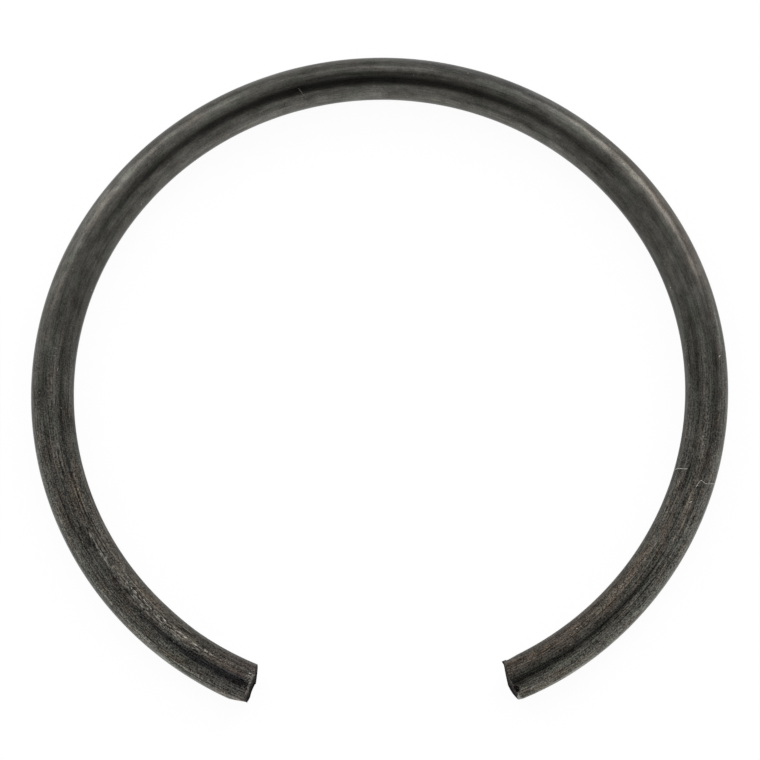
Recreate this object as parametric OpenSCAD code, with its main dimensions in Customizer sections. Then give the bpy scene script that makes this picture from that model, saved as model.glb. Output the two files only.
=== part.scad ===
// Round-wire circlip: a retaining ring that snaps into a groove in a bore.
//
// It is one length of drawn spring-steel wire, coiled into an open ring and cropped at both
// ends, with no lugs and no holes. The ring lies flat: its axis is Z, its opening faces -Y,
// and the origin is the centre of the ring, halfway up the wire.
//
// Each end was sheared by a blade that came from the outer side, so the shape of a cut is the
// same all the way up the wire. It is drawn in plan and extruded. An end's own axes are:
// x outwards from the wire's centre line, y along the wire towards the opening, z up.

/* [Ring] */
// Outside diameter of the ring when nothing squeezes it
ring_od = 32.3; // [24:0.1:60]
// Diameter of the wire
wire_d = 2.0; // [1.4:0.1:3]
// Opening between the two cuts, straight across at the wire's centre line
opening_w = 11.7; // [6:0.1:18]

/* [Shear blade] */
// Angle at which the blade pressed both outer sides, turned down round the wire
blade_lean = 14; // [0:1:30]

/* [Left cut] */
// Length of the flat that the blade pressed on the outer side, back from the cut
flat_len = 0.8; // [0.4:0.05:2]
// Depth of that flat at the cut
flat_depth = 0.19; // [0.05:0.01:0.4]
// Slope of the smooth land on the inner part of the cut
left_land_slope = 12; // [0:0.5:20]
// Distance of the land's outer edge from the centre line, inwards
land_edge = 0.25; // [0:0.05:0.6]
// How far that edge stands ahead of the cut's own plane
land_lead = 0.02; // [0:0.005:0.1]
// Radius of the hollow that tore out beyond the land
tear_r = 1.64; // [0.8:0.02:4]
// Depth of the hollow behind the cut's own plane
tear_depth = 0.03; // [0.01:0.005:0.15]
// How far the lip beyond the hollow stands ahead of the cut's own plane
lip_lead = 0.02; // [0.01:0.005:0.2]

/* [Right cut] */
// Length over which the outer side is drawn in along a tighter arc
draw_len = 4.5; // [1:0.1:8]
// Depth of the draw-in at the cut
draw_depth = 0.09; // [0.02:0.01:0.2]
// Slope of the smooth land on the inner part of the cut
right_land_slope = 10.5; // [0:0.5:20]
// How far the crest between the land and the torn part stands ahead of the cut's own plane
crest_lead = 0.025; // [0:0.005:0.1]
// Distance of the crest from the centre line, inwards
crest_offset = 0.1; // [0:0.05:0.4]
// Radius of the crowned outer part of the cut
crown_r = 3; // [2:0.1:6]
// Radius of the rolled outer corner
corner_r = 0.22; // [0.05:0.01:0.4]

/* [Burr] */
// How far the burr on the right cut stands in from the wire
burr_h = 0.04; // [0.02:0.01:0.12]
// Radius of the burr's edge
burr_r = 0.75; // [0.4:0.05:1]
// Length of the burr along the wire
burr_len = 0.12; // [0.08:0.01:0.3]
// How far the burr stands ahead of the land beside it
burr_lead = 0.02; // [0.01:0.005:0.08]

/* [Chip] */
// Radius of the round chip in the right cut's upper rim
chip_r = 0.17; // [0.08:0.01:0.3]
// Depth of the chip
chip_depth = 0.11; // [0.04:0.01:0.16]
// Place of the chip round the wire, up from the outer side
chip_angle = 54; // [30:1:80]
// Distance of the chip's centre behind the cut's own plane
chip_back = 0.1; // [0:0.01:0.4]

/* [Hidden] */

wire_r = wire_d / 2;
ring_r = ring_od / 2 - wire_r;                    // radius of the wire's centre line
half_opening = asin(opening_w / 2 / ring_r);      // seen from the ring's centre
stock = wire_d;                                   // wire that is cropped off past each cut
stock_angle = asin(stock / 2 / ring_r) * 2;
reach = wire_d * 2;                               // past the wire, for everything that cuts it

// The tighter arc of the right end's outer side leaves the ring's own arc draw_angle back
draw_r = 1 / (2 * draw_depth / pow(draw_len, 2) + 2 / ring_od);
draw_angle = draw_len / (ring_od / 2) * 180 / PI;

// Crown of the right cut, and the rolled corner that is tangent to it and to the outer side
crown_y = crest_lead - crown_r;
corner_x = wire_r - corner_r;
corner_y = crown_y + sqrt(pow(crown_r - corner_r, 2) - pow(corner_x + crest_offset, 2));

// Where the right land meets the wire's inner side
land_foot = crest_lead - (wire_r - crest_offset) * tan(right_land_slope);

// The wire as coiled, with the stock still on both ends
module coiled_wire() {
    rotate([0, 0, half_opening - 90 - stock_angle])
        rotate_extrude(angle = 360 - 2 * (half_opening - stock_angle), $fn = 360)
            translate([ring_r, 0])
                circle(r = wire_r, $fn = 96);
}

// Places its children in the axes of the left end, and of the right end
module at_left_end() {
    rotate([0, 0, -90 - half_opening]) translate([ring_r, 0, 0]) children();
}

module at_right_end() {
    rotate([0, 0, -90 + half_opening]) translate([ring_r, 0, 0]) mirror([0, 1, 0]) children();
}

// A plan shape as tall as everything that it cuts
module upright() {
    translate([0, 0, -reach / 2]) linear_extrude(height = reach) children();
}

// What the blade pressed out of the left end's outer side
module flat_waste() {
    rotate([0, blade_lean, 0])
        translate([wire_r, -flat_len])
            rotate([0, 0, atan(flat_depth / flat_len)])
                upright() translate([0, -reach]) square([reach, 2 * reach]);
}

// What lies outside the tighter arc of the right end's outer side
module draw_waste() {
    rotate([0, 0, half_opening - 90 + draw_angle])
        translate([ring_od / 2 - draw_r, 0])
            rotate([0, 0, -2 * draw_angle])
                rotate_extrude(angle = 2 * draw_angle, $fn = 360)
                    translate([draw_r - wire_r, 0])
                        rotate(-blade_lean)
                            translate([wire_r, -reach / 2])
                                square([reach, reach]);
}

// Plan of the waste at the left end: the land's side, then the lip's with the hollow below it
module left_waste() {
    polygon([
        [-reach, land_lead - (reach - land_edge) * tan(left_land_slope)],
        [-land_edge, land_lead],
        [-land_edge, reach],
        [-reach, reach]
    ]);
    translate([-land_edge, lip_lead]) square([reach, reach - lip_lead]);
    intersection() {
        translate([0, tear_r - tear_depth]) circle(r = tear_r, $fn = 180);
        translate([-land_edge, -tear_depth]) square([reach, reach]);
    }
}

// Plan of the right end as cut: the land, the crown and the rolled corner
module right_tip() {
    intersection() {
        union() {
            intersection() {
                translate([-crest_offset, crown_y]) circle(r = crown_r, $fn = 180);
                translate([-reach, corner_y - reach]) square([reach + corner_x, 2 * reach]);
            }
            translate([corner_x, corner_y]) circle(r = corner_r, $fn = 48);
            translate([corner_x - corner_r, corner_y - reach]) square([2 * corner_r, reach]);
        }
        polygon([
            [-reach, land_foot - (reach - wire_r) * tan(right_land_slope)],
            [-crest_offset, crest_lead],
            [reach, crest_lead],
            [reach, -reach],
            [-reach, -reach]
        ]);
    }
}

// Plan of the waste at the right end
module right_waste() {
    difference() {
        translate([-reach / 2, corner_y - corner_r]) square([reach, reach]);
        right_tip();
    }
}

// The burr that the blade dragged over the right cut's inner rim, thickest halfway up
module burr() {
    front = land_foot + burr_lead;
    translate([0, front, 0])
        rotate([90, 0, 0])
            linear_extrude(height = burr_len)
                difference() {
                    translate([burr_r - wire_r - burr_h, 0]) circle(r = burr_r, $fn = 96);
                    circle(r = wire_r - burr_h, $fn = 96);
                }
}

// The ball whose cap broke out of the right cut's rim
module chip() {
    rotate([0, -chip_angle, 0])
        translate([wire_r + chip_r - chip_depth, -chip_back, 0])
            sphere(r = chip_r, $fn = 48);
}

module snap_ring() {
    color([0.27, 0.26, 0.24])
        difference() {
            union() {
                difference() {
                    coiled_wire();
                    at_left_end() {
                        upright() left_waste();
                        flat_waste();
                    }
                    at_right_end() upright() right_waste();
                    draw_waste();
                }
                at_right_end() burr();
            }
            at_right_end() chip();
        }
}

snap_ring();
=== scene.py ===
import math

import bmesh
import bpy
from mathutils import Euler, Matrix, Vector, noise


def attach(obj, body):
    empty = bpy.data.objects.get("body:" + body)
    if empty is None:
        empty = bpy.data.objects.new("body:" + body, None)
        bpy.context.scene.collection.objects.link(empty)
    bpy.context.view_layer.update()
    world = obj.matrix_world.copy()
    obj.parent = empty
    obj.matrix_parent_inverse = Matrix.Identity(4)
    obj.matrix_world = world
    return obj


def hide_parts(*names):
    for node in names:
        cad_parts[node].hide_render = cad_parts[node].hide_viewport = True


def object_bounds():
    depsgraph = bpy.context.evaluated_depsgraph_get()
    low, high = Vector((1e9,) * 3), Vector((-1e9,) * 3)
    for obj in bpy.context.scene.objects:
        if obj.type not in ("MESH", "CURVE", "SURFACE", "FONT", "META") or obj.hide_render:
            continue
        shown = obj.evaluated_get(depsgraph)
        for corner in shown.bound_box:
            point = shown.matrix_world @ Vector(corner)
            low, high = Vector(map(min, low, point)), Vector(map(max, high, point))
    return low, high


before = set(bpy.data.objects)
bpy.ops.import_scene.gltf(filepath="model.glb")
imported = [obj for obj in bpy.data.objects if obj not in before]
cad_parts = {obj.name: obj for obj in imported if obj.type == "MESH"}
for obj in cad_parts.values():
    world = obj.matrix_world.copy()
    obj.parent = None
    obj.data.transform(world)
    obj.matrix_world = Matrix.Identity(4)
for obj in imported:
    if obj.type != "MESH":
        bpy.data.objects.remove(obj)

cad_low, cad_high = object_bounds()


# The place where the ring lies.
# A sheet of white board under the ring, in a white light tent. The ring rests on it by the
# lowest line of its wire, and the camera looks down through the opening in the tent's roof.

camera_data = bpy.data.cameras.new("camera")
camera_data.sensor_fit = "HORIZONTAL"
camera_data.sensor_width = 36.0
camera_data.lens = 231.43
camera_data.clip_start = 0.01
camera_data.clip_end = 10.0
camera = bpy.data.objects.new("camera", camera_data)
bpy.context.scene.collection.objects.link(camera)
camera_tilt = Euler((math.radians(-15.785453), 0.0, 0.0)).to_matrix()
camera_swing = Matrix.Rotation(math.radians(-1.583968), 3, "Y")
ring_turn = Matrix.Rotation(math.radians(-0.73), 3, "Z")
into_camera = camera_swing @ camera_tilt
seen_from = into_camera.transposed() @ Vector((0.045676, 0.375556, 226.25017))
camera.matrix_world = (
    Matrix.Translation(ring_turn @ seen_from * 0.001)
    @ (ring_turn @ into_camera.transposed()).to_4x4()
)
bpy.context.scene.camera = camera
bpy.context.scene.view_settings.view_transform = "Standard"

board_mesh = bmesh.new()
bmesh.ops.create_grid(board_mesh, x_segments=1, y_segments=1, size=1.5)
bmesh.ops.translate(board_mesh, verts=board_mesh.verts, vec=(0.0, 0.0, cad_low.z))
board_data = bpy.data.meshes.new("white_board")
board_mesh.to_mesh(board_data)
board_mesh.free()
board = bpy.data.objects.new("white_board", board_data)
bpy.context.scene.collection.objects.link(board)

board_paper = bpy.data.materials.new("white_paper")
board_paper.use_nodes = True
nodes, links = board_paper.node_tree.nodes, board_paper.node_tree.links
nodes.clear()
paper_out = nodes.new("ShaderNodeOutputMaterial")
paper = nodes.new("ShaderNodeBsdfDiffuse")
paper.inputs["Color"].default_value = (0.8, 0.8, 0.8, 1.0)
shaded_paper = nodes.new("ShaderNodeBsdfDiffuse")
shaded_paper.inputs["Color"].default_value = (0.1, 0.1, 0.1, 1.0)
glowing_paper = nodes.new("ShaderNodeEmission")
glowing_paper.inputs["Strength"].default_value = 0.945
seen_paper = nodes.new("ShaderNodeAddShader")
light_path = nodes.new("ShaderNodeLightPath")
camera_or_gloss = nodes.new("ShaderNodeMath")
camera_or_gloss.operation = "MAXIMUM"
seen_or_through = nodes.new("ShaderNodeMath")
seen_or_through.operation = "MAXIMUM"
from_above = nodes.new("ShaderNodeMixShader")
see_through = nodes.new("ShaderNodeBsdfTransparent")
under_side = nodes.new("ShaderNodeNewGeometry")
seen_from_below = nodes.new("ShaderNodeMath")
seen_from_below.operation = "MULTIPLY"
whole_board = nodes.new("ShaderNodeMixShader")
links.new(light_path.outputs["Is Camera Ray"], camera_or_gloss.inputs[0])
links.new(light_path.outputs["Is Glossy Ray"], camera_or_gloss.inputs[1])
links.new(camera_or_gloss.outputs[0], seen_or_through.inputs[0])
links.new(light_path.outputs["Is Transmission Ray"], seen_or_through.inputs[1])
links.new(glowing_paper.outputs[0], seen_paper.inputs[0])
links.new(shaded_paper.outputs[0], seen_paper.inputs[1])
links.new(seen_or_through.outputs[0], from_above.inputs[0])
links.new(paper.outputs[0], from_above.inputs[1])
links.new(seen_paper.outputs[0], from_above.inputs[2])
links.new(under_side.outputs["Backfacing"], seen_from_below.inputs[0])
links.new(light_path.outputs["Is Camera Ray"], seen_from_below.inputs[1])
links.new(seen_from_below.outputs[0], whole_board.inputs[0])
links.new(from_above.outputs[0], whole_board.inputs[1])
links.new(see_through.outputs[0], whole_board.inputs[2])
links.new(whole_board.outputs[0], paper_out.inputs["Surface"])
board_data.materials.append(board_paper)

tent = bpy.data.worlds.new("light_tent")
bpy.context.scene.world = tent
tent.use_nodes = True
nodes, links = tent.node_tree.nodes, tent.node_tree.links
nodes.clear()
tent_out = nodes.new("ShaderNodeOutputWorld")
tent_cloth = nodes.new("ShaderNodeBackground")
tent_seen = nodes.new("ShaderNodeBackground")
tent_seen.inputs["Strength"].default_value = 1.0
tent_mix = nodes.new("ShaderNodeMixShader")
light_path = nodes.new("ShaderNodeLightPath")
direction = nodes.new("ShaderNodeTexCoord")
cloth_level = 0.76
for change, azimuth, height, inner, outer in (
    (-1.31, 274.8, 65.6, 26.8, 29.1),   # the opening in the roof that the camera looks through
    (4.20, 52.0, 26.0, 0.5, 18.7),      # the lamp behind the cloth on the right
    (2.20, 131.0, 27.8, 1.0, 25.5),     # the weaker lamp on the left
    (0.44, 78.0, 43.0, 5.0, 27.0),      # the back of the tent between them
    (-0.63, 31.5, 35.5, 5.0, 22.6),     # seams, where the cloth is doubled
    (-0.72, 148.0, 35.4, 4.0, 22.4),
    (0.26, 288.0, 24.0, 13.0, 66.0),    # the open front
):
    way = nodes.new("ShaderNodeVectorMath")
    way.operation = "DOT_PRODUCT"
    way.inputs[1].default_value = (
        math.cos(math.radians(height)) * math.cos(math.radians(azimuth)),
        math.cos(math.radians(height)) * math.sin(math.radians(azimuth)),
        math.sin(math.radians(height)),
    )
    patch = nodes.new("ShaderNodeMapRange")
    patch.interpolation_type = "SMOOTHSTEP"
    patch.inputs["From Min"].default_value = math.cos(math.radians(outer))
    patch.inputs["From Max"].default_value = math.cos(math.radians(inner))
    patch.inputs["To Max"].default_value = change
    total = nodes.new("ShaderNodeMath")
    links.new(direction.outputs["Generated"], way.inputs[0])
    links.new(way.outputs["Value"], patch.inputs["Value"])
    links.new(patch.outputs["Result"], total.inputs[0])
    if isinstance(cloth_level, float):
        total.inputs[1].default_value = cloth_level
    else:
        links.new(cloth_level, total.inputs[1])
    cloth_level = total.outputs[0]
darkest = nodes.new("ShaderNodeMath")
darkest.operation = "MAXIMUM"
darkest.inputs[1].default_value = 0.02
links.new(cloth_level, darkest.inputs[0])
links.new(darkest.outputs[0], tent_cloth.inputs["Strength"])
links.new(light_path.outputs["Is Camera Ray"], tent_mix.inputs[0])
links.new(tent_cloth.outputs[0], tent_mix.inputs[1])
links.new(tent_seen.outputs[0], tent_mix.inputs[2])
links.new(tent_mix.outputs[0], tent_out.inputs["Surface"])


# The coiled wire.
# One length of drawn spring-steel wire, coiled into an open ring. The die left fine ridges
# along it, and the coiling rolls a few shallow bruises. Sizes are in millimetres up to the end.

wire_radius = 1.0
coil_radius = 15.15
half_opening = math.asin(11.7 / 2 / coil_radius)
last_turn = math.pi - half_opening          # from the top of the ring to each cut
wire_facets = 128
tip_length = 1.2                            # of each end that has close rings of facets
tip_rings = 40
body_rings = 440

ring_mesh = bmesh.new()
first_section = bmesh.ops.create_circle(
    ring_mesh,
    segments=wire_facets,
    radius=wire_radius,
    matrix=Matrix.Rotation(half_opening - math.pi / 2, 4, "Z")
    @ Matrix.Translation((coil_radius, 0.0, 0.0))
    @ Matrix.Rotation(math.pi / 2, 4, "X"),
)["verts"]
right_rim = list(ring_mesh.edges)
section = first_section + right_rim
tip_turn = tip_length / coil_radius
for turn, rings in (
    (tip_turn, tip_rings),
    (2 * (last_turn - tip_turn), body_rings),
    (tip_turn, tip_rings),
):
    section = bmesh.ops.spin(
        ring_mesh,
        geom=section,
        cent=(0.0, 0.0, 0.0),
        axis=(0.0, 0.0, 1.0),
        angle=turn,
        steps=rings,
        use_merge=False,
        use_duplicate=False,
    )["geom_last"]
left_rim = [part for part in section if isinstance(part, bmesh.types.BMEdge)]

cut_rings = [0.996, 0.985, 0.97, 0.95, 0.925] + [0.9 - 0.034 * k for k in range(26)]
for rim in (right_rim, left_rim):
    centre = sum((point.co for edge in rim for point in edge.verts), Vector()) / (2 * len(rim))
    size_now = 1.0
    edges = rim
    for size in cut_rings:
        grown = bmesh.ops.extrude_edge_only(ring_mesh, edges=edges)["geom"]
        points = [part for part in grown if isinstance(part, bmesh.types.BMVert)]
        new_points = set(points)
        edges = [
            part for part in grown
            if isinstance(part, bmesh.types.BMEdge) and new_points.issuperset(part.verts)
        ]
        bmesh.ops.scale(
            ring_mesh,
            vec=(size / size_now,) * 3,
            verts=points,
            space=Matrix.Translation(-centre),
        )
        size_now = size
    bmesh.ops.pointmerge(ring_mesh, verts=points, merge_co=centre)
bmesh.ops.recalc_face_normals(ring_mesh, faces=ring_mesh.faces)


# The left cropped end.
# The blade came from the outer side. It pressed a flat on the wire there, sheared the inner
# part of the cut smooth, and tore a shallow hollow in the rest, with a lip at its far side.

blade_lean = math.radians(14.0)
narrowing = 0.035                           # of the wire's inner side, towards both cuts
flat_length = 0.75
flat_depth = 0.19
left_land_edge = -0.25                      # from here inwards the left cut is smooth
left_land_lead = 0.02
left_land_slope = math.tan(math.radians(12.0))
hollow_radius = 1.64
hollow_depth = 0.03
lip_lead = 0.02
toe_lead = 0.13                             # the raised lower corner, ahead of the cut
toe_swell = 0.055                           # and out from the flat


def left_cut(out, up):
    """How far ahead of its own plane the left cut stands, at a place across the wire."""
    if out < left_land_edge:
        return left_land_lead + (out - left_land_edge) * left_land_slope
    hollow = hollow_radius - hollow_depth - math.sqrt(hollow_radius ** 2 - min(abs(out), 1.6) ** 2)
    low_down = min(1.0, max(0.0, (0.15 - up) / 0.3))
    toe = toe_lead * max(0.0, (out - 0.55) / 0.35) ** 3 * low_down
    return min(lip_lead, hollow) + toe


def left_skin(bearing, ahead):
    """How far out the left end's skin lies, after the blade has pressed its flat."""
    inward = max(0.0, -math.cos(bearing))
    narrowed = narrowing * min(1.0, max(0.0, (ahead + 5.5) / 2.0)) * inward ** 2
    facing = math.cos(bearing + blade_lean)
    if facing <= 0.05 or ahead < -flat_length:
        return 1.0 - narrowed
    pressed = (ahead + flat_length) * flat_depth / flat_length
    toe = toe_swell * max(0.0, 1 + (ahead - 0.1) / 0.22) ** 2 * facing ** 8
    return min(1.0, (1.0 - pressed + toe) / facing)


def left_roll(bearing):
    """How far the left cut's rim is rolled over: most on top, where the blade came over it."""
    return 0.012 + 0.09 * max(0.0, math.sin(bearing + 0.15)) ** 3


# The right cropped end.
# Here the blade drew the outer side in over a few millimetres and rolled its corner. The cut is
# smooth on the inner part and crowned beyond it, with a burr inside and a chip in its rim.

draw_length = 4.5
draw_depth = 0.09
crest_out = -0.1
crest_lead = 0.025
crown_radius = 3.0
corner_radius = 0.22
corner_out = wire_radius - corner_radius
corner_lead = crest_lead - crown_radius + math.sqrt(
    (crown_radius - corner_radius) ** 2 - (corner_out - crest_out) ** 2
)
land_slope = math.tan(math.radians(10.5))
land_foot = crest_lead - (wire_radius + crest_out) * land_slope
burr_length = 0.12
burr_radius = 0.75
burr_out = 0.29                             # of its middle, inwards from the wire's
burr_worn = 0.028


def right_cut(out, up):
    """How far ahead of its own plane the right cut stands, at a place across the wire."""
    if out > 0.85:
        return corner_lead + math.sqrt(max(0.0, corner_radius ** 2 - (out - corner_out) ** 2))
    crown = crest_lead - crown_radius + math.sqrt(crown_radius ** 2 - (out - crest_out) ** 2)
    burr = 0.6 * max(0.0, -out - 0.88) * max(0.0, 1 - (up / 0.45) ** 2)
    return min(crown, crest_lead + (out - crest_out) * land_slope) + burr


def right_skin(bearing, ahead):
    """How far out the right end's skin lies, with the draw-in and the burr."""
    inward = max(0.0, -math.cos(bearing))
    skin = 1.0 - narrowing * min(1.0, max(0.0, (ahead + 0.9) / 0.5)) * inward ** 2
    facing = math.cos(bearing + blade_lean)
    if facing > 0.05 and ahead > -draw_length:
        drawn = draw_depth * ((ahead + draw_length) / draw_length) ** 2
        skin = min(1.0, (1.0 - drawn * math.cos(blade_lean)) / facing)
    if inward > 0.9 and ahead > land_foot - burr_length:
        edge = burr_out * inward + math.sqrt(burr_radius ** 2 - burr_out ** 2 * (1 - inward ** 2))
        skin = max(skin, edge - burr_worn)
    return skin


def right_roll(bearing):
    """How far the right cut's rim is rolled over."""
    return 0.012 + 0.05 * max(0.0, math.sin(bearing - 0.3)) ** 2


blade_reach = 6.0                           # how far back from a cut the blade changed the wire
crumb_height = 0.016
blade_line_height = 0.004

# The faces of both cuts have their own finish.
for face in ring_mesh.faces:
    middle = face.calc_center_median()
    at_right = middle.x > 0
    out, up = math.hypot(middle.x, middle.y) - coil_radius, middle.z
    roll = (right_roll if at_right else left_roll)(math.atan2(up, out))
    turn = abs(math.atan2(middle.x, middle.y))
    on_cut = turn > last_turn - 0.00001 and math.hypot(out, up) < 1 - 0.5 * roll
    on_cut = on_cut and not (at_right and out > corner_out - 0.02)
    face.material_index = 1 if on_cut else 0

# Each point near an end goes to its place on the cut or on the skin.
for point in ring_mesh.verts:
    turn = math.atan2(point.co.x, point.co.y)
    back = (last_turn - abs(turn)) * coil_radius
    if back > blade_reach:
        continue
    out = math.hypot(point.co.x, point.co.y) - coil_radius
    up = point.co.z
    depth = math.hypot(out, up)
    bearing = math.atan2(up, out)
    at_right = turn > 0
    if at_right:
        cut, skin, rolled, land_edge = right_cut, right_skin, right_roll, crest_out
    else:
        cut, skin, rolled, land_edge = left_cut, left_skin, left_roll, left_land_edge
    share = max(0.0, 1.0 - back / tip_length)
    roll = rolled(bearing)
    rounding = max(0.0, min(roll, depth - (wire_radius - roll)))
    drop = roll - math.sqrt(max(0.0, roll ** 2 - rounding ** 2))
    # The torn part is rough; the land carries only the blade's lines.
    inner = min(1.0, max(0.0, (wire_radius - depth) / 0.1))
    if share > 0.999 and inner > 0:
        place = Vector((out, up, 7.0 if at_right else 2.0))
        torn = 1.0 if out > land_edge else 0.15
        crumbs = noise.fractal(place * 9.0, 0.8, 2.1, 3)
        lines = noise.noise(Vector((out * 1.6, up * 13.0, place.z)))
        drop -= inner * (crumb_height * torn * crumbs + blade_line_height * lines)
    size = 1.0
    for pass_number in range(2):
        lead = cut(out * size, up * size) - drop
        swing = share * math.atan2(lead, coil_radius + out * size) - back / coil_radius
        size = skin(bearing, swing * coil_radius)
    size = 1.0 + (size - 1.0) * min(1.0, depth)
    out, up = out * size, up * size
    turned = math.copysign(last_turn + swing, turn)
    point.co = (
        (coil_radius + out) * math.sin(turned),
        (coil_radius + out) * math.cos(turned),
        up,
    )

# The chip that broke out of the right cut's upper rim: points inside its ball go to its wall.
chip_radius = 0.18
chip_bearing = math.radians(54.0)
chip_way = Vector((math.cos(chip_bearing), 0.0, math.sin(chip_bearing)))
chip_place = chip_way * (wire_radius + 0.05) + Vector((coil_radius, 0.07, 0.0))
to_right_end = Matrix.Rotation(half_opening - math.pi / 2, 3, "Z")
chip_middle = to_right_end @ chip_place
chip_inward = to_right_end @ -chip_way
near_chip = dict.fromkeys(
    edge for point in ring_mesh.verts if (point.co - chip_middle).length < chip_radius + 0.05
    for edge in point.link_edges
)
bmesh.ops.subdivide_edges(ring_mesh, edges=list(near_chip), cuts=2, use_grid_fill=True)
for point in ring_mesh.verts:
    away = point.co - chip_middle
    rough = 1.0 + 0.20 * noise.noise(point.co * 11.0) + 0.10 * noise.noise(point.co * 29.0)
    if away.length < chip_radius * rough:
        sideways = away - chip_inward * away.dot(chip_inward)
        reach = math.sqrt(max(0.0, (chip_radius * rough) ** 2 - sideways.length_squared))
        point.co = chip_middle + sideways + chip_inward * reach
for face in ring_mesh.faces:
    face.smooth = True
    if (face.calc_center_median() - chip_middle).length < chip_radius * 1.08:
        face.material_index = 2


# The wire's skin.
# The die left fine ridges along it and coiling left shallow bruises. All of them are pressed in,
# so that nothing stands past the drawn wire.

pressed_in = 0.002
ridge_depth = 0.001
bruise_depth = 0.002

place_layer = ring_mesh.verts.layers.float_vector.new("wire_place")
ring_mesh.normal_update()
for point in ring_mesh.verts:
    along = math.atan2(point.co.x, point.co.y) * coil_radius
    out = math.hypot(point.co.x, point.co.y) - coil_radius
    place = Vector((along, out, point.co.z))
    point[place_layer] = place
    ridges = noise.noise(Vector((along * 0.12, out * 6.0, point.co.z * 6.0)))
    bruises = noise.noise(Vector((along * 0.7, out * 2.2, point.co.z * 2.2)) + Vector((30, 0, 0)))
    depth = pressed_in + ridge_depth * (1 - ridges) + bruise_depth * (1 - bruises)
    point.co -= point.normal * depth

bmesh.ops.scale(ring_mesh, vec=(0.001, 0.001, 0.001), verts=ring_mesh.verts)
ring_data = bpy.data.meshes.new("wire_ring")
ring_mesh.to_mesh(ring_data)
ring_mesh.free()
wire_ring = bpy.data.objects.new("wire_ring", ring_data)
bpy.context.scene.collection.objects.link(wire_ring)
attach(wire_ring, "root")
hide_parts("snap_ring")


# The finish of the wire.
# Black-brown phosphate with oil in it, grown over the lines that the die drew along the wire.
# Where the ring was rubbed, the coating has gone and bright steel shows in short dashes.


def new_effect(name, wants, gives):
    """An empty node group with number, vector or colour sockets."""
    effect = bpy.data.node_groups.new(name, "ShaderNodeTree")
    for socket_name, kind, value in wants:
        socket = effect.interface.new_socket(socket_name, in_out="INPUT", socket_type=kind)
        if value is not None:
            socket.default_value = value
    for socket_name, kind in gives:
        effect.interface.new_socket(socket_name, in_out="OUTPUT", socket_type=kind)
    start = effect.nodes.new("NodeGroupInput")
    end = effect.nodes.new("NodeGroupOutput")
    return effect, start, end


def calc(tree, operation, *values, clamp=False):
    """A Math node; each value is a number or another node's output."""
    node = tree.nodes.new("ShaderNodeMath")
    node.operation = operation
    node.use_clamp = clamp
    for k, value in enumerate(values):
        if isinstance(value, (int, float)):
            node.inputs[k].default_value = value
        else:
            tree.links.new(value, node.inputs[k])
    return node.outputs[0]


def spread(tree, value, low, high, to_low=0.0, to_high=1.0, smooth=False):
    """A value's range from low to high, stretched to another range and held there."""
    node = tree.nodes.new("ShaderNodeMapRange")
    node.interpolation_type = "SMOOTHSTEP" if smooth else "LINEAR"
    tree.links.new(value, node.inputs["Value"])
    node.inputs["From Min"].default_value = low
    node.inputs["From Max"].default_value = high
    node.inputs["To Min"].default_value = to_low
    node.inputs["To Max"].default_value = to_high
    return node.outputs["Result"]


def blend_colour(tree, share, first, second, mode="MIX"):
    """A Mix node for two colours."""
    node = tree.nodes.new("ShaderNodeMix")
    node.data_type = "RGBA"
    node.blend_type = mode
    for socket, value in zip((node.inputs["Factor"], *node.inputs[6:8]), (share, first, second)):
        if isinstance(value, (int, float, tuple)):
            socket.default_value = value
        else:
            tree.links.new(value, socket)
    return node.outputs[2]


# Lines along the wire: a grain that is long that way and narrow across.
drawn_lines, lines_in, lines_out = new_effect(
    "drawn_lines",
    (
        ("Place", "NodeSocketVector", None),
        ("Length", "NodeSocketFloat", 0.6),
        ("Width", "NodeSocketFloat", 0.07),
        ("Shift", "NodeSocketFloat", 0.0),
        ("Detail", "NodeSocketFloat", 3.0),
    ),
    (("Lines", "NodeSocketFloat"),),
)
shrink = drawn_lines.nodes.new("ShaderNodeCombineXYZ")
per_length = calc(drawn_lines, "DIVIDE", 1.0, lines_in.outputs["Length"])
per_width = calc(drawn_lines, "DIVIDE", 1.0, lines_in.outputs["Width"])
drawn_lines.links.new(per_length, shrink.inputs[0])
drawn_lines.links.new(per_width, shrink.inputs[1])
drawn_lines.links.new(per_width, shrink.inputs[2])
stretched = drawn_lines.nodes.new("ShaderNodeVectorMath")
stretched.operation = "MULTIPLY_ADD"
shift = drawn_lines.nodes.new("ShaderNodeCombineXYZ")
drawn_lines.links.new(lines_in.outputs["Shift"], shift.inputs[0])
drawn_lines.links.new(lines_in.outputs["Place"], stretched.inputs[0])
drawn_lines.links.new(shrink.outputs[0], stretched.inputs[1])
drawn_lines.links.new(shift.outputs[0], stretched.inputs[2])
line_noise = drawn_lines.nodes.new("ShaderNodeTexNoise")
line_noise.inputs["Scale"].default_value = 1.0
line_noise.inputs["Roughness"].default_value = 0.62
drawn_lines.links.new(lines_in.outputs["Detail"], line_noise.inputs["Detail"])
drawn_lines.links.new(stretched.outputs[0], line_noise.inputs["Vector"])
drawn_lines.links.new(line_noise.outputs["Fac"], lines_out.inputs["Lines"])

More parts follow.
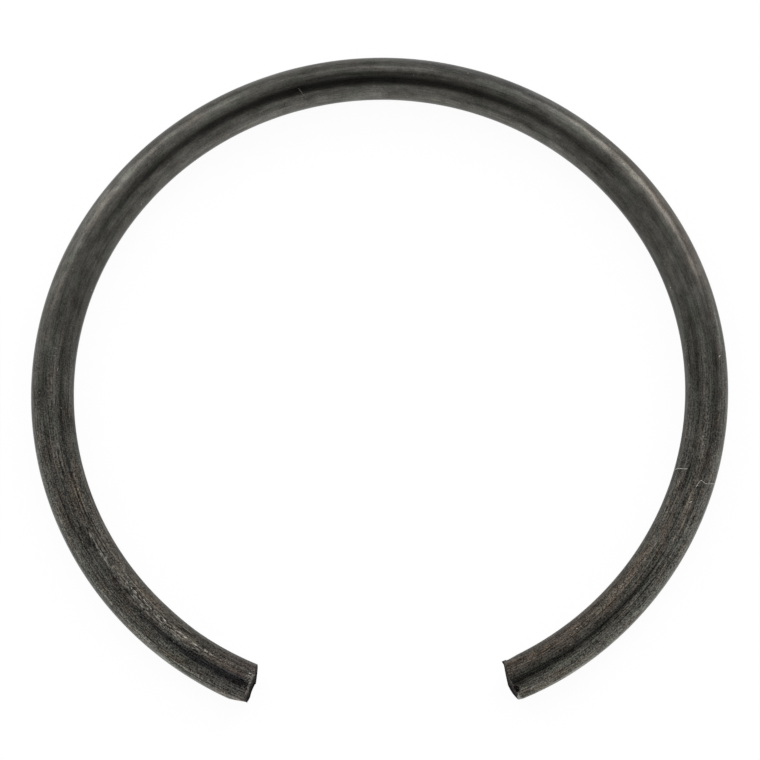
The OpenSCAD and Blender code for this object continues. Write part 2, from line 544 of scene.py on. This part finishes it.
# Phosphate crystals: an even, fine grain, and here and there one that stands up bright.
crystals, crystals_in, crystals_out = new_effect(
    "phosphate_crystals",
    (("Place", "NodeSocketVector", None), ("Size", "NodeSocketFloat", 0.06)),
    (("Grain", "NodeSocketFloat"), ("Bright Ones", "NodeSocketFloat")),
)
crystal_scale = crystals.nodes.new("ShaderNodeVectorMath")
crystal_scale.operation = "SCALE"
per_size = calc(crystals, "DIVIDE", 1.0, crystals_in.outputs["Size"])
crystals.links.new(crystals_in.outputs["Place"], crystal_scale.inputs[0])
crystals.links.new(per_size, crystal_scale.inputs["Scale"])
grain_noise = crystals.nodes.new("ShaderNodeTexNoise")
grain_noise.inputs["Scale"].default_value = 1.0
grain_noise.inputs["Detail"].default_value = 1.0
grain_noise.inputs["Roughness"].default_value = 0.5
cells = crystals.nodes.new("ShaderNodeTexVoronoi")
cells.inputs["Scale"].default_value = 0.9
cell_chance = crystals.nodes.new("ShaderNodeSeparateColor")
crystals.links.new(crystal_scale.outputs[0], grain_noise.inputs["Vector"])
crystals.links.new(crystal_scale.outputs[0], cells.inputs["Vector"])
crystals.links.new(cells.outputs["Color"], cell_chance.inputs[0])
chosen = spread(crystals, cell_chance.outputs[0], 0.9985, 0.999)
near_middle = spread(crystals, cells.outputs["Distance"], 0.45, 0.2)
crystals.links.new(grain_noise.outputs["Fac"], crystals_out.inputs["Grain"])
crystals.links.new(
    calc(crystals, "MULTIPLY", chosen, near_middle), crystals_out.inputs["Bright Ones"]
)

# A soft band along the wire, at one bearing round it and between two places along it. The
# bearing is in degrees up from the outer side, and the slant in degrees for each millimetre.
wear_and_painted_light_band, band_in, band_out = new_effect(
    "wear_and_painted_light_band",
    (
        ("Place", "NodeSocketVector", None),
        ("Bearing", "NodeSocketFloat", 90.0),
        ("Slant", "NodeSocketFloat", 0.0),
        ("Middle", "NodeSocketFloat", 0.0),
        ("Half Length", "NodeSocketFloat", 4.0),
        ("Half Width", "NodeSocketFloat", 5.0),
    ),
    (("Band", "NodeSocketFloat"),),
)
parts = wear_and_painted_light_band.nodes.new("ShaderNodeSeparateXYZ")
wear_and_painted_light_band.links.new(band_in.outputs["Place"], parts.inputs[0])
bearing_here = calc(wear_and_painted_light_band, "ARCTAN2", parts.outputs[2], parts.outputs[1])
bearing_here = calc(wear_and_painted_light_band, "MULTIPLY", bearing_here, 57.29578)
past_middle = calc(wear_and_painted_light_band, "SUBTRACT", parts.outputs[0], band_in.outputs["Middle"])
bearing_line = calc(
    wear_and_painted_light_band, "MULTIPLY_ADD", past_middle, band_in.outputs["Slant"], band_in.outputs["Bearing"]
)
off_line = calc(wear_and_painted_light_band, "SUBTRACT", bearing_here, bearing_line)
off_line = calc(wear_and_painted_light_band, "DIVIDE", off_line, band_in.outputs["Half Width"])
off_middle = calc(wear_and_painted_light_band, "DIVIDE", past_middle, band_in.outputs["Half Length"])
off_line = calc(wear_and_painted_light_band, "MULTIPLY", off_line, off_line)
off_middle = calc(wear_and_painted_light_band, "POWER", calc(wear_and_painted_light_band, "ABSOLUTE", off_middle), 4.0)
faded = calc(wear_and_painted_light_band, "EXPONENT", calc(wear_and_painted_light_band, "MULTIPLY", off_line, -1.0))
ended = calc(wear_and_painted_light_band, "EXPONENT", calc(wear_and_painted_light_band, "MULTIPLY", off_middle, -1.0))
wear_and_painted_light_band.links.new(calc(wear_and_painted_light_band, "MULTIPLY", faded, ended), band_out.inputs["Band"])


def use_effect(tree, effect, **values):
    """Puts a node group in a material, with its own values."""
    node = tree.nodes.new("ShaderNodeGroup")
    node.node_tree = effect
    for socket_name, value in values.items():
        socket = node.inputs[socket_name.replace("_", " ")]
        if isinstance(value, (int, float)):
            socket.default_value = value
        else:
            tree.links.new(value, socket)
    return node


def wire_band(tree, spot, bearing, slant, middle, half_length, half_width):
    """A soft band on the wire. Its middle is an angle seen from the ring's centre, +X being zero."""
    return use_effect(
        tree, wear_and_painted_light_band, Place=spot, Bearing=bearing, Slant=slant,
        Middle=math.radians(90.0 - middle) * coil_radius,
        Half_Length=half_length, Half_Width=half_width,
    ).outputs[0]


def new_finish(name):
    """A new material, with its node tree and its shader."""
    finish = bpy.data.materials.new(name)
    finish.use_nodes = True
    return finish, finish.node_tree, finish.node_tree.nodes["Principled BSDF"]


def place_on_wire(tree):
    """A point's place on the wire in millimetres, from the ring's own attribute."""
    node = tree.nodes.new("ShaderNodeAttribute")
    node.attribute_name = "wire_place"
    return node.outputs["Vector"]


def ways_of(tree, spot):
    """The three parts of a place: along the wire from the top, outward and upward."""
    node = tree.nodes.new("ShaderNodeSeparateXYZ")
    tree.links.new(spot, node.inputs[0])
    return node.outputs


def tinted(tree, share, colour, tint):
    """A colour with part of a tint laid over it."""
    return blend_colour(tree, share, colour, blend_colour(tree, 1.0, colour, tint, "MULTIPLY"))


coated_wire, tree, steel = new_finish("phosphated_wire")
spot = place_on_wire(tree)
along, outward, upward = ways_of(tree, spot)
from_top = calc(tree, "ABSOLUTE", along)

long_lines = use_effect(tree, drawn_lines, Place=spot, Length=1.6, Width=0.048, Detail=1.5).outputs[0]
short_lines = use_effect(
    tree, drawn_lines, Place=spot, Length=0.26, Width=0.042, Shift=7.0, Detail=1.0
).outputs[0]
die_lines = use_effect(tree, drawn_lines, Place=spot, Length=9.0, Width=0.085, Shift=13.0).outputs[0]
patches = use_effect(tree, drawn_lines, Place=spot, Length=2.6, Width=0.8, Shift=29.0).outputs[0]
clouds = use_effect(tree, drawn_lines, Place=spot, Length=0.9, Width=0.4, Shift=71.0).outputs[0]
hues = use_effect(tree, drawn_lines, Place=spot, Length=1.5, Width=0.36, Shift=53.0).outputs[0]
grown = use_effect(tree, crystals, Place=spot, Size=0.065)
grain = grown.outputs["Grain"]

texture = calc(tree, "MULTIPLY", long_lines, 0.36)
texture = calc(tree, "MULTIPLY_ADD", short_lines, 0.20, texture)
texture = calc(tree, "MULTIPLY_ADD", grain, 0.44, texture)
texture = spread(tree, texture, 0.38, 0.62, -0.5, 0.5)
# The lines stand out more on both ends than on the far side.
line_contrast = spread(tree, from_top, 17.5, 29.5, 0.27, 1.0, smooth=True)
line_contrast = calc(
    tree, "MULTIPLY", line_contrast, spread(tree, along, 14.0, 24.0, 1.0, 0.87)
)
texture = calc(tree, "MULTIPLY", texture, line_contrast)
texture = calc(tree, "MULTIPLY_ADD", spread(tree, patches, 0.3, 0.7, -0.5, 0.5), 0.18, texture)
texture = calc(tree, "MULTIPLY_ADD", spread(tree, clouds, 0.3, 0.7, -0.5, 0.5), 0.26, texture)
texture = calc(tree, "ADD", texture, 0.5)

lightness = calc(tree, "POWER", calc(tree, "ADD", texture, 0.0, clamp=True), 1.5)
coat = blend_colour(tree, lightness, (0.020, 0.0187, 0.0172, 1.0), (0.236, 0.229, 0.211, 1.0))
deep_lines = calc(tree, "MULTIPLY", spread(tree, die_lines, 0.45, 0.38, 0.0, 0.8), line_contrast)
coat = tinted(tree, deep_lines, coat, (0.35, 0.35, 0.37, 1.0))
brown = calc(tree, "MULTIPLY", spread(tree, hues, 0.51, 0.62), line_contrast)
coat = tinted(tree, brown, coat, (1.08, 0.98, 0.91, 1.0))
coat = tinted(tree, spread(tree, hues, 0.49, 0.38), coat, (0.96, 1.01, 0.97, 1.0))
coat = tinted(tree, spread(tree, grain, 0.52, 0.66), coat, (1.01, 1.0, 0.89, 1.0))
inner_side = spread(tree, outward, 0.15, -0.35)
outer_side = spread(tree, outward, 0.1, 0.7)
right_end = spread(tree, along, 30.0, 38.0)
left_tip = spread(tree, along, -38.0, -41.5)
either_arm = spread(tree, from_top, 26.0, 36.0)
either_end = spread(tree, from_top, 33.0, 39.0)
coat = tinted(tree, calc(tree, "MULTIPLY", inner_side, either_arm), coat, (1.045, 0.985, 0.945, 1.0))
coat = tinted(tree, calc(tree, "MULTIPLY", inner_side, right_end), coat, (1.04, 0.985, 0.965, 1.0))
coat = tinted(tree, calc(tree, "MULTIPLY", outer_side, either_end), coat, (1.0, 1.005, 0.96, 1.0))
coat = tinted(tree, left_tip, coat, (0.88, 0.86, 0.93, 1.0))
# Along the crown of the left end the colour is painted darker and colder: painted shade.
crown = calc(tree, "MULTIPLY", spread(tree, outward, 0.0, 0.12), spread(tree, outward, 0.50, 0.38))
left_end = spread(tree, along, -33.0, -39.0)
coat = tinted(tree, calc(tree, "MULTIPLY", crown, left_end), coat, (0.74, 0.76, 0.84, 1.0))
# On the outer side the far right is painted browner at first, and then bluish towards the top: the warm
# and bluish tints of the highlights there, painted into the colour.
warm_highlight_place = calc(tree, "MULTIPLY", spread(tree, along, 9.0, 13.0), spread(tree, along, 21.0, 17.0))
bluish_sheen_place = calc(tree, "MULTIPLY", spread(tree, along, -1.0, 3.0), spread(tree, along, 10.0, 7.0))
coat = tinted(tree, calc(tree, "MULTIPLY", outer_side, warm_highlight_place), coat, (1.06, 0.985, 0.97, 1.0))
coat = tinted(tree, calc(tree, "MULTIPLY", outer_side, bluish_sheen_place), coat, (0.975, 0.995, 1.07, 1.0))
# The inner side of both arms is rougher, and its colour is painted darker there: painted shade.
rough_and_painted_shade = calc(tree, "MULTIPLY", spread(tree, outward, -0.12, -0.42), spread(tree, from_top, 22.0, 27.0))
coat = tinted(tree, rough_and_painted_shade, coat, (0.76, 0.76, 0.76, 1.0))
# Soft bands along the wire multiply the colour by a level: the lighter ones are painted
# highlights and reflections, the darker ones painted shade. The levels were fitted to the photograph's
# brightness.
for bearing, slant, middle, half_length, half_width, level in (
    (101.0, -2.2, 17.0, 8.5, 7.0, 1.32),    # painted highlights on the crown
    (92.0, 2.0, 182.0, 5.0, 8.0, 1.24),
    (77.5, -2.4, -25.0, 4.6, 6.0, 1.60),
    (56.5, 0.0, -28.0, 2.0, 5.0, 1.38),
    (83.0, 0.0, 130.0, 4.2, 13.0, 1.38),
    (77.0, 0.0, 42.0, 5.0, 6.0, 1.32),
    (71.5, -1.0, -61.0, 3.0, 6.5, 1.85),
    (75.0, 0.0, 94.0, 3.2, 3.0, 1.34),      # a thin painted highlight along the far side
    (10.0, 0.0, -67.0, 10.0, 26.0, 1.50),   # painted highlights on the outer side
    (14.0, 0.0, 246.0, 4.0, 13.0, 1.50),
    (30.0, 0.0, 225.0, 3.0, 6.5, 1.70),
    (9.0, 0.0, -59.0, 5.5, 8.0, 1.20),
    (45.0, 0.0, 15.0, 2.8, 10.0, 1.60),
    (49.0, 0.0, 149.0, 4.0, 9.0, 1.62),
    (43.0, 0.0, 42.0, 4.5, 7.0, 1.25),
    (160.0, 0.0, 103.0, 9.0, 11.0, 1.32),   # painted highlights on the inner side
    (138.0, 0.0, -22.0, 4.5, 8.0, 1.28),
    (92.0, 0.0, 92.0, 6.5, 6.0, 0.62),      # painted shade on the far side
    (92.5, 0.0, 92.0, 3.0, 5.0, 0.62),
    (69.0, 0.0, 92.0, 2.8, 3.0, 0.84),
    (77.0, -0.3, -48.0, 3.0, 4.2, 0.48),    # painted shade on the ends and arms
    (91.0, 0.0, -62.0, 4.5, 11.0, 0.78),
    (112.0, 0.0, -60.0, 3.6, 9.0, 0.74),
    (114.5, 0.0, 219.0, 4.8, 8.0, 0.56),
    (121.0, 0.0, 212.0, 2.4, 6.0, 0.66),
    (92.0, 0.0, 212.0, 2.4, 5.0, 0.70),
    (44.0, 0.0, 228.0, 2.8, 7.0, 0.68),
    (91.0, 0.0, 243.0, 2.2, 12.0, 0.66),
    (116.0, 0.0, 243.0, 2.6, 8.0, 0.76),
    (110.0, 0.0, 138.0, 2.4, 7.0, 0.72),
    (149.0, 0.0, 28.0, 3.6, 9.0, 0.66),
    (147.0, 0.0, 158.0, 4.5, 9.0, 0.78),
    (114.0, 0.0, -2.0, 4.5, 7.0, 0.73),
    (118.0, 0.0, 178.0, 4.2, 6.5, 0.75),
    (171.0, 0.0, 3.0, 9.5, 13.0, 0.20),     # painted shade on the innermost line of both arms
    (171.0, 0.0, 182.0, 10.0, 13.0, 0.34),
):
    band = wire_band(tree, spot, bearing, slant, middle, half_length, half_width)
    coat = tinted(tree, band, coat, (level, level, level, 1.0))

worn_steel = (0.46, 0.43, 0.38, 1.0)
dashes = use_effect(
    tree, drawn_lines, Place=spot, Length=0.27, Width=0.048, Shift=41.0, Detail=1.0
).outputs[0]
flecks = use_effect(
    tree, drawn_lines, Place=spot, Length=0.11, Width=0.045, Shift=83.0, Detail=1.0
).outputs[0]
worn = grown.outputs["Bright Ones"]
# Bright crumbs on the rolled upper rim of the left cut.
torn_rim = calc(tree, "MULTIPLY", spread(tree, along, -41.22, -41.36), spread(tree, upward, 0.70, 0.86))
torn_rim = calc(tree, "MULTIPLY", torn_rim, spread(tree, outward, -0.58, -0.45))
torn_rim = calc(tree, "MULTIPLY", torn_rim, spread(tree, outward, 0.50, 0.38))
torn_rim = calc(tree, "MULTIPLY", torn_rim, spread(tree, flecks, 0.54, 0.62, 0.0, 0.9))
worn = calc(tree, "MAXIMUM", worn, torn_rim)
for bearing, slant, middle, half_length, half_width, wear in (
    (107.6, 0.6, 229.5, 3.0, 3.6, 1.0),     # the long rub on the left arm
    (101.5, 0.6, 224.0, 4.4, 3.0, 0.75),    # lighter ones beside it
    (95.0, 0.6, 221.0, 4.4, 3.4, 0.90),
    (66.0, 0.0, 42.0, 5.6, 1.4, 0.2),       # a thin bright line on the outer side
):
    band = wire_band(tree, spot, bearing, slant, middle, half_length, half_width)
    rubbed = calc(tree, "MULTIPLY", band, wear)
    rubbed = calc(tree, "MULTIPLY", rubbed, spread(tree, dashes, 0.56, 0.605))
    worn = calc(tree, "MAXIMUM", worn, rubbed)
tree.links.new(blend_colour(tree, worn, coat, worn_steel), steel.inputs["Base Color"])

steel.inputs["Metallic"].default_value = 1.0
steel.inputs["Specular Tint"].default_value = (0.78, 0.78, 0.78, 1.0)
satin = spread(tree, texture, 0.0, 1.0, 0.34, 0.25)
tree.links.new(calc(tree, "MULTIPLY_ADD", rough_and_painted_shade, 0.10, satin), steel.inputs["Roughness"])

relief = tree.nodes.new("ShaderNodeBump")
relief.inputs["Strength"].default_value = 1.0
relief.inputs["Distance"].default_value = 0.000002
tree.links.new(texture, relief.inputs["Height"])
tree.links.new(relief.outputs["Normal"], steel.inputs["Normal"])
ring_data.materials.append(coated_wire)


# The finish of the cuts.
# The blade's faces have a thin coat of phosphate and oil. Torn crumbs stand bright near the top,
# and the foot of each cut is darker.

cut_steel, tree, steel = new_finish("cropped_steel")
spot = place_on_wire(tree)
along, outward, upward = ways_of(tree, spot)
torn = use_effect(tree, crystals, Place=spot, Size=0.07)
blade_marks = use_effect(tree, drawn_lines, Place=spot, Length=0.2, Width=0.07, Shift=3.0).outputs[0]
cut_texture = calc(tree, "MULTIPLY", torn.outputs["Grain"], 0.5)
cut_texture = calc(tree, "MULTIPLY_ADD", blade_marks, 0.5, cut_texture)
cut_texture = spread(tree, cut_texture, 0.40, 0.62)
cut_colour = blend_colour(tree, cut_texture, (0.016, 0.014, 0.014, 1.0), (0.135, 0.128, 0.117, 1.0))
# Towards the foot of each cut the colour goes nearly black.
grain_and_height = calc(tree, "MULTIPLY_ADD", torn.outputs["Grain"], 1.0, upward)
above_dark_foot = spread(tree, grain_and_height, -0.35, 1.05, smooth=True)
cut_colour = blend_colour(tree, above_dark_foot, (0.0095, 0.0078, 0.0092, 1.0), cut_colour)
# Bright crumbs near the top of the left cut: bare torn steel, with the glint of the burr painted into
# their colour.
crumbs = use_effect(
    tree, drawn_lines, Place=spot, Length=0.10, Width=0.06, Shift=61.0, Detail=1.0
).outputs[0]
crumbs = calc(tree, "MULTIPLY", spread(tree, crumbs, 0.54, 0.62), spread(tree, upward, 0.40, 0.60))
crumbs = calc(tree, "MULTIPLY", crumbs, spread(tree, along, -41.0, -41.2))
crumbs = calc(tree, "MULTIPLY", crumbs, spread(tree, outward, -0.55, -0.3))
cut_colour = blend_colour(tree, crumbs, cut_colour, (0.70, 0.66, 0.59, 1.0))
tree.links.new(cut_colour, steel.inputs["Base Color"])
tree.links.new(spread(tree, cut_texture, 0.0, 1.0, 0.75, 0.5), steel.inputs["Roughness"])
steel.inputs["Specular IOR Level"].default_value = 0.0
ring_data.materials.append(cut_steel)

chip_steel, tree, steel = new_finish("broken_steel")
broken = use_effect(tree, crystals, Place=place_on_wire(tree), Size=0.06)
chip_colour = blend_colour(
    tree,
    spread(tree, broken.outputs["Grain"], 0.42, 0.62),
    (0.0045, 0.0032, 0.0042, 1.0),
    (0.044, 0.029, 0.031, 1.0),
)
tree.links.new(chip_colour, steel.inputs["Base Color"])
tree.links.new(spread(tree, broken.outputs["Grain"], 0.3, 0.7, 0.8, 0.6), steel.inputs["Roughness"])
steel.inputs["Specular IOR Level"].default_value = 0.0
ring_data.materials.append(chip_steel)


# Lint.
# Short cotton fibres that lie across the wire. Each is bent close over the wire's skin, along
# stops given as an angle round the ring and a bearing round the wire.

lint, tree, cotton = new_finish("lint")
position = tree.nodes.new("ShaderNodeTexCoord")
fluff = tree.nodes.new("ShaderNodeTexNoise")
fluff.inputs["Scale"].default_value = 6000.0
fluff.inputs["Detail"].default_value = 2.0
tree.links.new(position.outputs["Object"], fluff.inputs["Vector"])
fluff_colour = blend_colour(
    tree,
    spread(tree, fluff.outputs["Fac"], 0.35, 0.65),
    (0.50, 0.485, 0.43, 1.0),
    (0.86, 0.85, 0.78, 1.0),
)
tree.links.new(fluff_colour, cotton.inputs["Base Color"])
tree.links.new(spread(tree, fluff.outputs["Fac"], 0.3, 0.7, 0.95, 0.8), cotton.inputs["Roughness"])
cotton.inputs["Specular IOR Level"].default_value = 0.2

for name, fibre_radius, ends in (
    ("fibre_1", 0.015, (
        (-17.16, 159.5), (-17.06, 152.0), (-16.92, 141.0), (-16.98, 129.0),
        (-16.96, 119.5), (-16.88, 111.8),
    )),
    ("fibre_2", 0.011, (
        (-19.54, 75.2), (-19.05, 73.7), (-18.41, 70.9), (-18.16, 67.5), (-18.25, 60.5),
        (-18.33, 50.4), (-17.90, 34.9), (-17.22, 6.0),
    )),
    ("fibre_3", 0.0032, ((104.32, 108.0), (104.01, 118.6), (103.77, 129.9))),
    ("fibre_4", 0.016, ((3.80, 54.0), (4.08, 51.0), (4.12, 47.0))),
    ("fibre_5", 0.013, ((18.1, 151.5), (18.35, 149.0), (18.50, 146.0))),
    ("fibre_6", 0.013, ((-22.20, 71.5), (-22.34, 74.5), (-22.60, 78.0))),
    ("fibre_7", 0.011, ((-19.60, 121.5), (-19.45, 122.5), (-19.35, 124.5))),
    ("fibre_8", 0.010, ((176.50, 108.0), (176.79, 106.8), (177.10, 105.8))),
):
    # Points between the given ones, on a smooth path over the wire's skin.
    stops = [Vector(stop) for stop in ends]
    stops = [2 * stops[0] - stops[1]] + stops + [2 * stops[-1] - stops[-2]]
    path = []
    for before, here, after, beyond in zip(stops, stops[1:], stops[2:], stops[3:]):
        for part in (0.0, 0.25, 0.5, 0.75):
            bend = (after - before) * part
            bend += (2 * before - 5 * here + 4 * after - beyond) * part ** 2
            bend += (3 * here - before - 3 * after + beyond) * part ** 3
            path.append(here + bend / 2)
    path.append(stops[-2])
    lifted = []
    for stop in path:
        angle, bearing = math.radians(stop.x), math.radians(stop.y)
        skin = wire_radius + fibre_radius * 0.7
        reach = coil_radius + skin * math.cos(bearing)
        height = min(skin * math.sin(bearing), 0.9985 * wire_radius - fibre_radius)
        lifted.append(Vector((reach * math.cos(angle), reach * math.sin(angle), height)))
    fibre_mesh = bmesh.new()
    ring = bmesh.ops.create_circle(fibre_mesh, segments=8, radius=fibre_radius)["verts"]
    edges = list(fibre_mesh.edges)
    frame_now = Matrix.Identity(4)
    for k, stop in enumerate(lifted):
        forward = (lifted[min(k + 1, len(lifted) - 1)] - lifted[max(k - 1, 0)]).to_track_quat("Z", "Y")
        taper = 0.3 if k in (0, len(lifted) - 1) else 1.0
        frame_next = Matrix.Translation(stop) @ forward.to_matrix().to_4x4() @ Matrix.Scale(taper, 4)
        if k:
            grown_part = bmesh.ops.extrude_edge_only(fibre_mesh, edges=edges)["geom"]
            ring = [part for part in grown_part if isinstance(part, bmesh.types.BMVert)]
            new_points = set(ring)
            edges = [
                part for part in grown_part
                if isinstance(part, bmesh.types.BMEdge) and new_points.issuperset(part.verts)
            ]
        bmesh.ops.transform(fibre_mesh, matrix=frame_next @ frame_now.inverted(), verts=ring)
        frame_now = frame_next
    bmesh.ops.holes_fill(fibre_mesh, edges=fibre_mesh.edges, sides=8)
    bmesh.ops.recalc_face_normals(fibre_mesh, faces=fibre_mesh.faces)
    for face in fibre_mesh.faces:
        face.smooth = len(face.verts) == 4
    bmesh.ops.scale(fibre_mesh, vec=(0.001, 0.001, 0.001), verts=fibre_mesh.verts)
    fibre_data = bpy.data.meshes.new(name)
    fibre_mesh.to_mesh(fibre_data)
    fibre_mesh.free()
    fibre = bpy.data.objects.new(name, fibre_data)
    bpy.context.scene.collection.objects.link(fibre)
    fibre_data.materials.append(lint)
    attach(fibre, "root")
